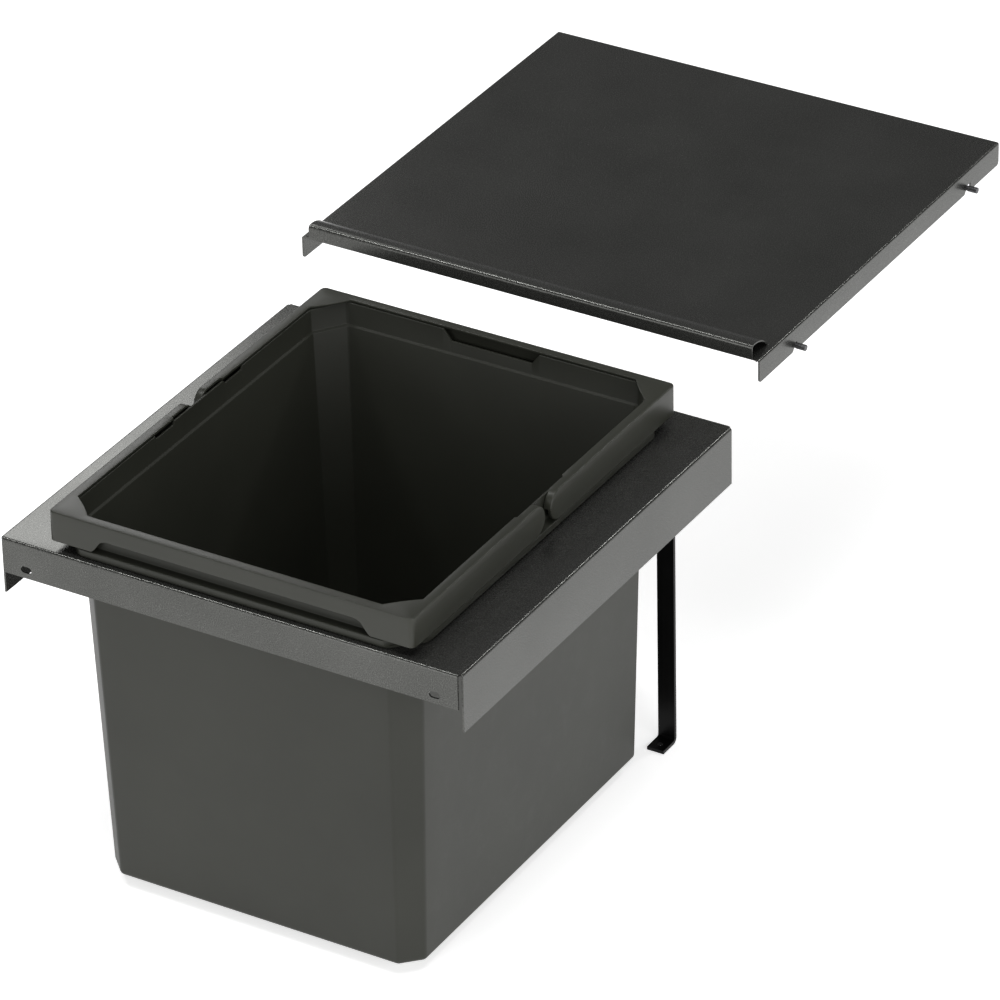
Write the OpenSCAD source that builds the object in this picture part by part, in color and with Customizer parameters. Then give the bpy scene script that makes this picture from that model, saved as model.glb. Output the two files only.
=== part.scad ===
// Built-in pull-out waste bin: a folded steel hanging frame, a moulded bin with two bail handles,
// two rear support straps, and a steel cover that stays hooked in the cabinet above the bin.
//
// Axes: +X to the right, +Y to the back of the cabinet, +Z up. The origin is midway between the two
// fixing slots, on the front face of the frame's front flange. The parts lie as they do with the
// drawer pulled right out, so the cover hangs behind and above the bin.

/* [Frame] */
// Overall width of the hanging frame
frame_w = 400; // [380:1:480]
// Depth of the hanging frame, from front face to back face
frame_d = 404.6; // [380:0.2:480]
// Sheet thickness of the frame
frame_t = 1.5; // [1:0.1:2]
// Height of the side flanges
side_drop = 49.5; // [40:0.5:70]
// Height of the front flange
front_drop = 29.7; // [27:0.1:38]
// Height of the back flange
back_drop = 30; // [24:0.5:38]
// Outer radius of the frame's bends
frame_bend = 2.4; // [1.8:0.1:4]
// Distance from each flange's ends to the outside of the frame, so that the corners stay open
corner_relief = 3.1; // [2.6:0.1:6]
// Clearance between the bin's wall and the opening in the frame
opening_gap = 2.5; // [1.5:0.1:3.5]

/* [Fixing slots] */
// Distance from a side of the frame to the centre of its slot
slot_inset = 22.8; // [16:0.1:30]
// Slot centre below the frame's top face
slot_drop = 22.4; // [12:0.1:23]
// Slot length, end to end
slot_len = 9.5; // [7:0.1:14]
// Slot width
slot_w = 5.6; // [4.2:0.1:6.4]

/* [Support straps] */
// Width of the flat bar
strap_w = 15; // [12:0.5:20]
// Thickness of the flat bar
strap_t = 3; // [2:0.1:4]
// Distance between the centres of the two straps
strap_pitch = 283.5; // [240:0.5:300]
// Underside of the feet below the frame's top face
strap_drop = 302; // [298:0.5:360]
// Length of the foot, from its toe to the back of the strap
foot_len = 21; // [16:0.5:34]
// Outer radius of the bend between strap and foot
strap_bend = 5; // [3.5:0.1:6]
// Diameter of the screw hole in the foot
foot_hole_d = 4.5; // [3.5:0.1:5.5]
// Distance from the toe to the middle of the foot's hole
foot_hole_at = 8; // [6:0.5:10]
// Diameter of the rivets that hold the straps
rivet_d = 4; // [3:0.1:5]
// Diameter of the rivets' heads
rivet_head_d = 7.5; // [6:0.1:9]
// Height of the rivets' heads
rivet_head_h = 1.3; // [0.8:0.1:2]
// Distance between a strap's two rivets
rivet_pitch = 12; // [10:0.5:14]

/* [Bin] */
// Overall width of the bin's rim
rim_w = 315.2; // [300:0.2:330]
// Overall depth of the bin's rim
rim_d = 385.6; // [370:0.2:388]
// Distance of the rim behind the frame's front face
rim_setback = 4.8; // [3:0.1:8]
// Distance from the outside of the rim to the outside of the bin's wall
rim_reach = 7; // [6.6:0.1:8]
// Top of the bin's wall above the frame's top face
wall_top = 30.2; // [28:0.1:34]
// Underside of the bin's floor below the frame's top face
bin_drop = 293; // [250:0.5:297]
// Wall thickness of the bin
wall_t = 2.6; // [2:0.1:3.4]
// Wall thickness of the thinner band at the top
band_t = 1.8; // [1.4:0.1:1.9]
// Height of the step under the band, above the frame's top face
band_low = 10.8; // [10:0.1:16]
// How far the wall under the ledge stands in from the wall above it
wall_step = 1.7; // [0:0.1:2.5]
// How far each wall leans in, from the rim to the floor
draft = 11.5; // [6:0.1:14]
// Corner chamfer of the front corners at the rim
front_chamfer = 19; // [14:0.5:24]
// Corner chamfer of the back corners at the rim, along X
back_chamfer_x = 19; // [14:0.5:28]
// Corner chamfer of the back corners at the rim, along Y
back_chamfer_y = 26; // [14:0.5:28]
// Corner chamfer of all corners at the floor
floor_chamfer = 15.5; // [12:0.5:20]
// Extra length along Y of the back corners' chamfer at the floor
floor_chamfer_extra = 2.5; // [0:0.5:4]
// Bevel round the edge of the floor
floor_bevel = 3.5; // [2:0.1:6]
// Top of the ledge that carries the bin, above the frame's top face
ledge_top = 7; // [6.5:0.1:7]
// Height of the ledge's outer lip
ledge_lip = 5; // [4:0.1:6]
// Wall thickness of the ledge
ledge_t = 2; // [1.6:0.1:2.4]
// Extra corner chamfer of the ledge
ledge_chamfer = 7; // [4:0.5:9]
// Width of the finger notch at the top of the back wall
notch_w = 86; // [60:1:120]
// Depth of the finger notch
notch_h = 9; // [6:0.5:10]
// Slope of the finger notch's ends
notch_slope = 7; // [3:0.5:12]
// Depth of the four long recesses in the top edge of the side walls
recess_h = 2.8; // [0:0.1:3]
// Distance from the middle of the bin to the recesses' near ends
recess_from = 34.3; // [34:0.1:44]
// Length of the recesses
recess_len = 26.7; // [20:0.1:40]

/* [Handles] */
// Top of the handles above the frame's top face
handle_top = 32.7; // [32.5:0.1:38]
// Height of the handles' skirt
skirt_h = 25.2; // [24.8:0.1:25.2]
// Thickness of the handles' skirt
skirt_t = 2.8; // [2:0.1:2.8]
// Thickness of the handles' top flange
flange_t = 2; // [1.4:0.1:2]
// Width of the handles' top flange
flange_w = 8.2; // [7.8:0.1:9]
// Width of the top flange next to the pivots
flange_narrow = 6.3; // [5:0.1:6.4]
// Distance from the middle of the bin to where the flange narrows
narrow_from = 34.2; // [32:0.1:44]
// Gap between the ends of the two handles
handle_gap = 8; // [6:0.1:14]
// Radius of the handles' outer corners
handle_corner = 4; // [2:0.1:8]
// Chamfer across the inside of the handles' corners, along X
gusset_x = 22; // [18:0.5:26]
// Chamfer across the inside of the handles' corners, along Y
gusset_y = 20; // [18:0.5:26]
// Extra chamfer at the rear handle's corners, along Y
gusset_extra = 4.5; // [0:0.5:6]
// Length of the grip cut-out at the front handle's lower edge
grip_w = 242; // [120:1:250]
// Height of the grip cut-out
grip_h = 11.8; // [8:0.1:14]
// Length of the cut-out's sloping ends
grip_slope = 13; // [8:0.5:20]
// Diameter of the pivot pins
pin_d = 6; // [4:0.1:7]
// Radial clearance of the pivot pins
pin_fit = 0.05; // [0.03:0.01:0.09]
// Outer diameter of the bosses that hold the pins
boss_d = 13; // [11:0.1:15]

/* [Cover] */
// Overall width of the cover
cover_w = 410.6; // [406:0.2:500]
// Depth of the cover
cover_d = 401; // [380:1:480]
// Sheet thickness of the cover
cover_t = 1.2; // [0.8:0.1:1.5]
// Top of the cover above the frame's top face
cover_rise = 43; // [43:0.5:60]
// Height of the cover's side flanges
cover_drop = 19.8; // [17:0.1:30]
// Outer radius of the cover's bends
cover_bend = 1.8; // [1.6:0.1:3]
// Radius of the flanges' lower corners
cover_corner = 3; // [1:0.1:5]
// How far the drawer is pulled out: the cover's front edge behind the frame's front face
pull_out = 435.6; // [424:0.2:500]
// Height of the raised lip along the front edge
lip_h = 11; // [6:0.1:14]
// Distance of the lip's ends from the sides of the cover
lip_inset = 6.5; // [5:0.5:14]
// Radius of the lip's long rear curve
lip_curve = 25; // [16:0.5:40]
// Distance from the lip's front face to its highest line
lip_crest = 4.6; // [3.6:0.1:8]
// Radius of the lip's nose
lip_nose = 3.2; // [2:0.1:3.5]

/* [Cover hooks] */
// First notch's front edge behind the cover's front edge
hook_from = 55; // [45:0.1:80]
// Distance between the front and the rear notch: nine holes of a 32 mm row
hook_pitch = 288; // [224:32:320]
// Height of the notches
hook_h = 6.8; // [6:0.1:9]
// Width of the front notches
front_hook_w = 5.6; // [5.2:0.1:7]
// Width of the rear notches
rear_hook_w = 8.4; // [5.4:0.1:10]
// Radius of the notches' mouth
hook_mouth = 2.6; // [1:0.1:3]
// Diameter of the hanging screws' neck
neck_d = 4.2; // [3.6:0.1:4.4]
// Diameter of the hanging screws' thread
thread_d = 5; // [4.5:0.1:6.3]
// Length of the hanging screws' thread
thread_len = 8; // [6:0.5:13]
// Diameter of the hanging screws' head
screw_head_d = 8.4; // [7:0.1:9]
// Thickness of the hanging screws' head
screw_head_h = 2.1; // [1.5:0.1:2.2]
// Distance from the cover's flange to the cabinet's side
cabinet_gap = 1.4; // [1:0.1:4]

/* [Hidden] */
$fn = 48;
steel = [0.30, 0.30, 0.29];
black_steel = [0.06, 0.06, 0.06];
bright_steel = [0.55, 0.55, 0.56];
bin_plastic = [0.24, 0.24, 0.22];
handle_plastic = [0.29, 0.29, 0.27];
over = 1;                                   // how far a cutting solid passes the wall it cuts
play = 0.3;                                 // gap kept between pieces that don't touch

top_z = slot_drop;                          // frame's top face
mid_y = rim_setback + rim_d / 2;            // middle of the bin and of its rim
back_y = frame_d - frame_t;                 // inner face of the back flange
wall_hw = rim_w / 2 - rim_reach;            // half the width over the bin's walls, at their top
wall_front = rim_setback + rim_reach;
wall_back = rim_setback + rim_d - rim_reach;
wall_span = wall_top + bin_drop;
skirt_low = handle_top - skirt_h;
eye_r = skirt_h / 2;                        // round end of a handle
eye_z = handle_top - eye_r;
eye_dy = handle_gap / 2 + eye_r;            // pivots from the middle of the bin
cover_z = cover_rise - cover_t;             // underside of the cover
hook_top = cover_rise - cover_drop + hook_h;
neck_z = hook_top - neck_d / 2 - pin_fit;   // hanging screws' axis
neck_at = neck_d / 2 + play;                // screw's axis behind its notch's front edge

// Share of the way from the wall's top down to the floor, at height z over the frame's top face
function lean(z) = (wall_top - z) / wall_span;
function mix(a, b, s) = a + (b - a) * s;

// Outline with a chamfered corner at each end of the front and back: half width, front y, back y,
// and the chamfers' lengths along X and Y at the front and at the back
function chamfered(hw, y0, y1, fx, fy, bx, by) = [
    [-hw, y0 + fy], [-hw + fx, y0], [hw - fx, y0], [hw, y0 + fy],
    [hw, y1 - by], [hw - bx, y1], [-hw + bx, y1], [-hw, y1 - by]];

// Outline of the bin's outer wall at height z, grown by g on every side; step is how far the wall
// would stand in at the rim
function wall_outline(z, g, step = 0) = let (
    s = lean(z), in = mix(step, draft, s),
    cf = mix(front_chamfer, floor_chamfer, s) + 0.6 * g,
    bx = mix(back_chamfer_x, floor_chamfer, s) + 0.6 * g,
    by = mix(back_chamfer_y, floor_chamfer + floor_chamfer_extra, s) + 0.6 * g)
    chamfered(wall_hw - in + g, wall_front + in - g, wall_back - in + g, cf, cf, bx, by);

// Outline of the ledge, grown by g on every side
function ledge_outline(g) = let (
    cf = front_chamfer + ledge_chamfer + 0.6 * g,
    bx = back_chamfer_x + ledge_chamfer + 0.6 * g, by = back_chamfer_y + ledge_chamfer + 0.6 * g)
    chamfered(rim_w / 2 + g, rim_setback - g, rim_setback + rim_d + g, cf, cf, bx, by);

// Arc of points about c, from angle a0 to a1
function arc(c, r, a0, a1, n) = [for (i = [0:n]) let (a = mix(a0, a1, i / n))
    c + r * [cos(a), sin(a)]];

module slab(z0, z1) {
    translate([0, 0, z0]) linear_extrude(z1 - z0) children();
}

// Extrudes an outline drawn in Y and Z along X, from x0 to x1
module along_x(x0, x1) {
    translate([x0, 0, 0]) rotate([90, 0, 90]) linear_extrude(x1 - x0) children();
}

// Extrudes an outline drawn in X and Z along Y, from y0 to y1
module along_y(y0, y1) {
    translate([0, y1, 0]) rotate([90, 0, 0]) linear_extrude(y1 - y0) children();
}

module rod_x(x0, x1, r, y, z) {
    translate([x0, y, z]) rotate([0, 90, 0]) cylinder(h = x1 - x0, r = r);
}

module rod_y(y0, y1, r, x, z) {
    translate([x, y0, z]) rotate([-90, 0, 0]) cylinder(h = y1 - y0, r = r);
}

module both_sides() {
    children();
    mirror([1, 0, 0]) children();
}

// Section of a right-angle bend: a strip of sheet from (run, 0) to the corner at the origin, and
// down to -drop, with its outside on the axes
module bend_section(run, drop, t, r) {
    difference() {
        union() {
            translate([r, -t]) square([run - r, t]);
            translate([0, -drop]) square([t, drop - r]);
            translate([r, -r]) circle(r);
        }
        translate([r, -r]) circle(r - t);
        translate([r, -r - 2 * r]) square([2 * r, 2 * r]);
        translate([r, -r - r]) square([run, r]);
        translate([t, -drop - over]) square([2 * r, drop - r + over]);
    }
}

// ---- Frame ----

module frame_top() {
    slab(-frame_t, 0) difference() {
        translate([-frame_w / 2 + frame_bend, frame_bend])
            square([frame_w - 2 * frame_bend, frame_d - 2 * frame_bend]);
        polygon(wall_outline(0, opening_gap));
        for (x = [-1, 1], y = [0, frame_d])
            translate([x * frame_w / 2 - corner_relief, y - corner_relief]) square(2 * corner_relief);
    }
}

// Right side flange with its bend
module side_flange() {
    translate([frame_w / 2, 0, 0]) along_y(corner_relief, frame_d - corner_relief)
        mirror([1, 0]) bend_section(frame_bend + over, side_drop, frame_t, frame_bend);
}

module cross_flange(drop) {
    half = frame_w / 2 - corner_relief;
    along_x(-half, half) bend_section(frame_bend + over, drop, frame_t, frame_bend);
}

module fixing_slot() {
    half = (slot_len - slot_w) / 2;
    for (s = [-1, 1]) rod_y(-over, frame_t + over, slot_w / 2, s * half, 0);
    translate([-half, -over, -slot_w / 2]) cube([2 * half, frame_t + 2 * over, slot_w]);
}

module frame_tray() {
    color(steel) difference() {
        translate([0, 0, top_z]) union() {
            frame_top();
            both_sides() side_flange();
            cross_flange(front_drop);
            translate([0, frame_d, 0]) mirror([0, 1, 0]) cross_flange(back_drop);
        }
        for (s = [-1, 1]) translate([s * (frame_w / 2 - slot_inset), 0, 0]) fixing_slot();
        strap_holes(rivet_d / 2 + pin_fit);
    }
}

// ---- Support straps ----

function rivet_z(i) = top_z - back_drop / 2 - 0.5 + (i - 0.5) * rivet_pitch;

module strap_holes(r) {
    for (s = [-1, 1], i = [0, 1])
        rod_y(back_y - strap_t - over, frame_d + over, r, s * strap_pitch / 2, rivet_z(i));
}

module strap_section() {
    toe = back_y - foot_len;
    low = -strap_drop;
    difference() {
        union() {
            translate([toe, low]) square([foot_len - strap_bend, strap_t]);
            translate([back_y - strap_t, low + strap_bend])
                square([strap_t, strap_drop - strap_bend - frame_bend - play]);
            intersection() {
                translate([back_y - strap_bend, low + strap_bend]) circle(strap_bend);
                translate([back_y - strap_bend, low]) square(strap_bend);
            }
        }
        translate([back_y - strap_bend, low + strap_bend]) circle(strap_bend - strap_t);
    }
}

module support_strap() {
    color(black_steel) difference() {
        translate([strap_pitch / 2, 0, top_z]) along_x(-strap_w / 2, strap_w / 2) strap_section();
        translate([strap_pitch / 2, back_y - foot_len + foot_hole_at, top_z - strap_drop - over])
            cylinder(h = strap_t + 2 * over, d = foot_hole_d);
        strap_holes(rivet_d / 2 + pin_fit);
    }
}

module left_support_strap() {
    mirror([1, 0, 0]) support_strap();
}

module right_support_strap() {
    support_strap();
}

module strap_rivets() {
    color(black_steel) for (s = [-1, 1], i = [0, 1]) {
        x = s * strap_pitch / 2;
        rod_y(back_y - strap_t, frame_d, rivet_d / 2, x, rivet_z(i));
        rod_y(frame_d, frame_d + rivet_head_h, rivet_head_d / 2, x, rivet_z(i));
        rod_y(back_y - strap_t - rivet_head_h, back_y - strap_t, rivet_d * 0.75, x, rivet_z(i));
    }
}

// ---- Bin ----

// Solid of the stepped-in body between two heights, with its walls moved outwards by g
module bin_block(low, high, g) {
    hull() {
        slab(low, low + 0.01) polygon(wall_outline(low, g - floor_bevel, wall_step));
        slab(low + floor_bevel, low + floor_bevel + 0.01)
            polygon(wall_outline(low + floor_bevel, g, wall_step));
        slab(high - 0.01, high) polygon(wall_outline(high, g, wall_step));
    }
}

// Outside of the wall above the ledge
module upper_block() {
    low = ledge_top - ledge_t;
    hull() {
        slab(low, low + 0.01) polygon(wall_outline(low, 0));
        slab(wall_top - 0.01, wall_top) polygon(wall_outline(wall_top, 0));
    }
}

module band_block() {
    hull() {
        slab(band_low, band_low + 0.01) polygon(wall_outline(band_low, -wall_t, wall_step));
        slab(band_low + 1, band_low + 1.01) polygon(wall_outline(band_low + 1, -band_t));
        slab(wall_top + over, wall_top + over + 0.01)
            polygon(wall_outline(wall_top + over, -band_t));
    }
}

module ledge() {
    slab(ledge_top - ledge_t, ledge_top) polygon(ledge_outline(0));
    slab(ledge_top - ledge_lip, ledge_top) difference() {
        polygon(ledge_outline(0));
        polygon(ledge_outline(-ledge_t));
    }
    slab(0, ledge_top) difference() {
        polygon(wall_outline(0, opening_gap + 2 * ledge_t));
        polygon(wall_outline(0, opening_gap + ledge_t));
    }
}

module finger_notch(y) {
    along_y(y - rim_reach / 2, y + rim_reach / 2) polygon([
        [-notch_w / 2 - notch_slope * over / notch_h, wall_top + over],
        [-notch_w / 2 + notch_slope, wall_top - notch_h],
        [notch_w / 2 - notch_slope, wall_top - notch_h],
        [notch_w / 2 + notch_slope * over / notch_h, wall_top + over]]);
}

module wall_recesses() {
    for (s = [-1, 1]) along_x(wall_hw - rim_reach, wall_hw + over)
        translate([mid_y + s * (recess_from + recess_len / 2) - recess_len / 2, wall_top - recess_h])
            square([recess_len, recess_h + over]);
}

module at_pivots() {
    for (s = [-1, 1]) translate([0, mid_y + s * eye_dy, eye_z]) children();
}

module bin_shell() {
    boss_end = rim_w / 2 - skirt_t - play;
    wall_x = wall_hw - draft * lean(eye_z + boss_d / 2) - wall_t / 2;
    color(bin_plastic) translate([0, 0, top_z]) difference() {
        union() {
            bin_block(-bin_drop, ledge_top - ledge_t / 2, 0);
            upper_block();
            ledge();
            both_sides() at_pivots() rod_x(wall_x, boss_end, boss_d / 2, 0, 0);
        }
        bin_block(-bin_drop + wall_t, band_low + 0.01, -wall_t);
        band_block();
        finger_notch(wall_back);
        both_sides() wall_recesses();
        both_sides() at_pivots()
            rod_x(wall_hw + play, boss_end + over, pin_d / 2 + pin_fit, 0, 0);
    }
}

// ---- Handles ----

// Plan of the rim, from its front face to the middle of the bin, with round front corners
module rim_plan(inset, depth) {
    r = handle_corner - min(inset, handle_corner - 1);
    hw = rim_w / 2 - inset;
    y0 = rim_setback + inset;
    translate([-hw, y0 + r]) square([2 * hw, depth - inset - r]);
    translate([-hw + r, y0]) square([2 * (hw - r), r + over]);
    for (s = [-1, 1]) translate([s * (hw - r), y0 + r]) circle(r);
}

// Hole in the handle's top flange
module flange_hole(depth, gy) {
    hw = rim_w / 2 - flange_w;
    wide = rim_w / 2 - flange_narrow;
    y0 = rim_setback + flange_w;
    y_narrow = mid_y - narrow_from;
    y1 = rim_setback + depth + over;
    polygon([[-hw, y0 + gy], [-hw + gusset_x, y0], [hw - gusset_x, y0], [hw, y0 + gy],
             [hw, y_narrow], [wide, y_narrow], [wide, y1], [-wide, y1],
             [-wide, y_narrow], [-hw, y_narrow]]);
}

// Round end of one arm, about its pivot: the skirt's eye, the flange curling over it, and the pin
module handle_eye() {
    inner = rim_w / 2 - skirt_t;
    rod_x(inner, rim_w / 2, eye_r, 0, 0);
    intersection() {
        difference() {
            rod_x(rim_w / 2 - flange_narrow, inner + over, eye_r, 0, 0);
            rod_x(rim_w / 2 - flange_narrow - over, inner + 2 * over, eye_r - flange_t, 0, 0);
        }
        translate([0, 0, 0]) cube([rim_w, eye_r + over, eye_r + over]);
    }
    rod_x(wall_hw + 2 * play, inner + over, pin_d / 2, 0, 0);
}

module grip_cutout() {
    z = skirt_low;
    along_y(rim_setback - over, rim_setback + skirt_t + over) polygon([
        [-grip_w / 2 - over, z - over], [-grip_w / 2, z],
        [-grip_w / 2 + grip_slope * 0.55, z + grip_h * 0.8], [-grip_w / 2 + grip_slope, z + grip_h],
        [grip_w / 2 - grip_slope, z + grip_h], [grip_w / 2 - grip_slope * 0.55, z + grip_h * 0.8],
        [grip_w / 2, z], [grip_w / 2 + over, z - over]]);
}

// Bail handle at the front of the bin, without its grip cut-out
module bail_handle(gy) {
    depth = mid_y - eye_dy - rim_setback;
    slab(handle_top - flange_t, handle_top) difference() {
        rim_plan(0, depth);
        flange_hole(depth, gy);
    }
    slab(skirt_low, handle_top) difference() {
        rim_plan(0, depth);
        rim_plan(skirt_t, depth + over);
    }
    both_sides() translate([0, mid_y - eye_dy, eye_z]) handle_eye();
}

module front_handle() {
    color(handle_plastic) translate([0, 0, top_z]) difference() {
        bail_handle(gusset_y);
        grip_cutout();
    }
}

// The rear handle is the front one's mirror image, with longer gussets and no cut-out
module rear_handle() {
    color(handle_plastic) translate([0, 2 * mid_y, top_z]) mirror([0, 1, 0])
        bail_handle(gusset_y + gusset_extra);
}

// ---- Cover ----

// Outline of the raised lip in Y and Z over the plate, g inside its outer surface: a long curve
// rising from the plate, a round nose and an upright front face
function lip_line(g) = let (
    r = lip_curve - g, n = lip_nose - g,
    crest = [lip_crest, lip_h - lip_curve],
    nose = [lip_nose, lip_h - lip_nose])
    concat(arc(crest, r, asin((lip_curve - lip_h) / r), 90, 10), arc(nose, n, 90, 180, 6), [[g, 0]]);

// The lip is the plate's front edge folded up and rolled back onto the plate, open at both ends
module lip_section() {
    tail = lip_crest + sqrt(pow(lip_curve, 2) - pow(lip_curve - lip_h, 2));
    difference() {
        union() {
            polygon(lip_line(0));
            translate([0, -cover_t]) square([tail, cover_t]);
        }
        polygon(lip_line(cover_t));
    }
}

module cover_top() {
    lip_hw = cover_w / 2 - lip_inset;
    slab(-cover_t, 0)
        translate([-cover_w / 2 + cover_bend, 0]) square([cover_w - 2 * cover_bend, cover_d]);
    along_x(-lip_hw, lip_hw) lip_section();
}

module cover_flange_outline() {
    r = cover_corner;
    difference() {
        union() {
            translate([0, -cover_drop + r]) square([cover_d, cover_drop - r - cover_bend]);
            translate([r, -cover_drop]) square([cover_d - 2 * r, r + over]);
            for (y = [r, cover_d - r]) translate([y, -cover_drop + r]) circle(r);
        }
        hook_notch(hook_from, front_hook_w);
        hook_notch(hook_from + hook_pitch, rear_hook_w);
    }
}

// Notch that hooks on a screw: upright front edge, mouth opened out by a round corner on each side
module hook_notch(y, w) {
    low = -cover_drop;
    translate([y, low - over]) square([w, hook_h + over]);
    difference() {
        translate([y - hook_mouth, low - over])
            square([w + hook_mouth + hook_mouth / 2, over + hook_mouth]);
        translate([y - hook_mouth, low + hook_mouth]) circle(hook_mouth);
        translate([y + w + hook_mouth / 2, low + hook_mouth / 2]) circle(hook_mouth / 2);
        translate([y + w, low + hook_mouth / 2]) square(hook_mouth);
    }
}

module cover_side() {
    translate([cover_w / 2, 0, 0]) along_y(0, cover_d) intersection() {
        mirror([1, 0]) bend_section(cover_bend + over, cover_drop, cover_t, cover_bend);
        translate([-2 * cover_bend, -cover_bend]) square(2 * cover_bend);
    }
    along_x(cover_w / 2 - cover_t, cover_w / 2) cover_flange_outline();
}

module cover_plate() {
    color(steel) translate([0, pull_out, top_z + cover_rise]) {
        cover_top();
        both_sides() cover_side();
    }
}

module hanging_screw() {
    flange = cover_w / 2 - cover_t - play;
    wall = cover_w / 2 + cabinet_gap;
    rod_x(flange - screw_head_h, flange, screw_head_d / 2, 0, 0);
    rod_x(flange - over, wall, neck_d / 2, 0, 0);
    rod_x(wall, wall + thread_len, thread_d / 2, 0, 0);
}

module cover_hanging_screws() {
    color(bright_steel) both_sides() for (i = [0, 1])
        translate([0, pull_out + hook_from + neck_at + i * hook_pitch, top_z + neck_z])
            hanging_screw();
}

frame_tray();
left_support_strap();
right_support_strap();
strap_rivets();
bin_shell();
front_handle();
rear_handle();
cover_hanging_screws();
cover_plate();
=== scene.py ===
"""Looks of a pull-out waste bin for a kitchen drawer.

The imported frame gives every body, node and joint. This script adds the moulded shapes that the
plain solids only stand for (the bin's shell, the two bail handles), softens the sheared edges of
the folded steel, and gives every surface its finish.
"""
import logging
import math
from collections.abc import Sequence
from dataclasses import dataclass
from enum import Enum
from typing import Any

import bmesh
import bpy
import numpy as np
from mathutils import Matrix, Vector


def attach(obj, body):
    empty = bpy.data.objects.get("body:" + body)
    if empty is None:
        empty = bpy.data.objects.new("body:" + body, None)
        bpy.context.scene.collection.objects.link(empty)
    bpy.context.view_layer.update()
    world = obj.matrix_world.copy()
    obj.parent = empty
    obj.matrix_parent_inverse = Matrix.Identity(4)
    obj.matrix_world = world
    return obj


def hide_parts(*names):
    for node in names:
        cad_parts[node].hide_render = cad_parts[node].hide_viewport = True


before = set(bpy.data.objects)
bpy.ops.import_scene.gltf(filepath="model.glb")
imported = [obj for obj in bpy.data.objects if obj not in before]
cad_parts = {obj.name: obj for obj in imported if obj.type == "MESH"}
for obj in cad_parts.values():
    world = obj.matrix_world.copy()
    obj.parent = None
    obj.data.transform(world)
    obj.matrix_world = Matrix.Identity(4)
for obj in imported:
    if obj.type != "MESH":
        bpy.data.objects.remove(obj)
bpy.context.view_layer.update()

LOG = logging.getLogger("pull_out_bin")
Triple = tuple[float, float, float]
MM = 0.001                      # one millimetre, in the scene's metres
TRAY_TOP = 22.4                 # top face of the tray over the fixing slots, in millimetres
MERGE = 2e-6                    # points nearer than this, in metres, are one point
CREASE = 32.0                   # moulded edges sharper than this, in degrees, stay crisp
PIVOT_STEPS = 32                # faces round a handle's pin
BOSS_STEPS = 40                 # faces round a boss


# ---- Meshes ----

def grid_faces(rings: int, points: int, round_ring: bool) -> np.ndarray:
    """Corner numbers of the quads between neighbouring rings of a grid.

    Args:
        rings: number of rings.
        points: points in each ring.
        round_ring: whether a ring's last point joins its first.

    Returns:
        An array of four vertex numbers for each quad.
    """
    last = points if round_ring else points - 1
    i, j = np.meshgrid(np.arange(rings - 1), np.arange(last), indexing="ij")
    k = (j + 1) % points
    here, beyond = i * points, (i + 1) * points
    return np.stack([here + j, here + k, beyond + k, beyond + j], -1).reshape(-1, 4)


def clean_shell(shape: bpy.types.Mesh, fill_gaps: bool) -> None:
    """Merges doubled points, closes flat ends and turns every face outwards.

    Args:
        shape: the mesh to clean.
        fill_gaps: whether open loops get a flat face.
    """
    work = bmesh.new()
    work.from_mesh(shape)
    bmesh.ops.remove_doubles(work, verts=work.verts, dist=MERGE)
    bmesh.ops.dissolve_degenerate(work, edges=work.edges, dist=1e-7)
    if fill_gaps:
        open_edges = [edge for edge in work.edges if edge.is_boundary]
        bmesh.ops.holes_fill(work, edges=open_edges, sides=0)
    bmesh.ops.recalc_face_normals(work, faces=work.faces)
    work.to_mesh(shape)
    work.free()


def shell_from_rings(name: str, rings: np.ndarray, round_ring: bool = True) -> bpy.types.Object:
    """Makes a closed piece from a grid of points, in millimetres over the tray's top face.

    Args:
        name: name of the piece.
        rings: array of shape (rings, points, 3).
        round_ring: whether a ring's last point joins its first.

    Returns:
        The new object, with its place in its mesh.
    """
    count, points = rings.shape[:2]
    placed = (rings.reshape(-1, 3) + np.array([0.0, 0.0, TRAY_TOP])) * MM
    shape = bpy.data.meshes.new(name)
    shape.from_pydata(placed.tolist(), [], grid_faces(count, points, round_ring).tolist())
    clean_shell(shape, fill_gaps=True)
    return placed_object(name, shape)


def placed_object(name: str, shape: bpy.types.Mesh) -> bpy.types.Object:
    """Links a mesh to the scene as an object at the origin.

    Args:
        name: name of the object.
        shape: its mesh.

    Returns:
        The new object.
    """
    piece = bpy.data.objects.new(name, shape)
    bpy.context.scene.collection.objects.link(piece)
    return piece


def smooth_by_angle(piece: bpy.types.Object, degrees: float) -> None:
    """Shades a piece smooth, and keeps edges sharper than an angle crisp."""
    piece.data.shade_smooth()
    piece.data.set_sharp_from_angle(angle=math.radians(degrees))


def arc(radius: float, degrees: Sequence[float]) -> list[tuple[float, float]]:
    """Steps along a quarter circle, as radius (1 - sin a) and radius (1 - cos a) of each angle a.

    Args:
        radius: radius of the rounded edge.
        degrees: angle of each step.

    Returns:
        The pair of distances from the edge's two flat sides, for each step.
    """
    turn = np.radians(degrees)
    return list(zip(radius * (1.0 - np.sin(turn)), radius * (1.0 - np.cos(turn))))


def revolved(profile: np.ndarray, centre: tuple[float, float], side: int, steps: int) -> np.ndarray:
    """Rings of a piece turned about a line along X.

    A profile point (x, r) goes round the line at (y, z): y + r cos a, z + r sin a.

    Args:
        profile: array of (x, r) pairs.
        centre: y and z of the line.
        side: 1 for the right side, -1 for its mirror image.
        steps: points around.

    Returns:
        An array of shape (len(profile), steps, 3).
    """
    turn = np.linspace(0.0, 2.0 * np.pi, steps, endpoint=False)
    x = np.repeat(side * profile[:, :1], steps, axis=1)
    y = centre[0] + profile[:, 1:] * np.cos(turn)
    z = centre[1] + profile[:, 1:] * np.sin(turn)
    return np.stack([x, y, z], -1)


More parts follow.
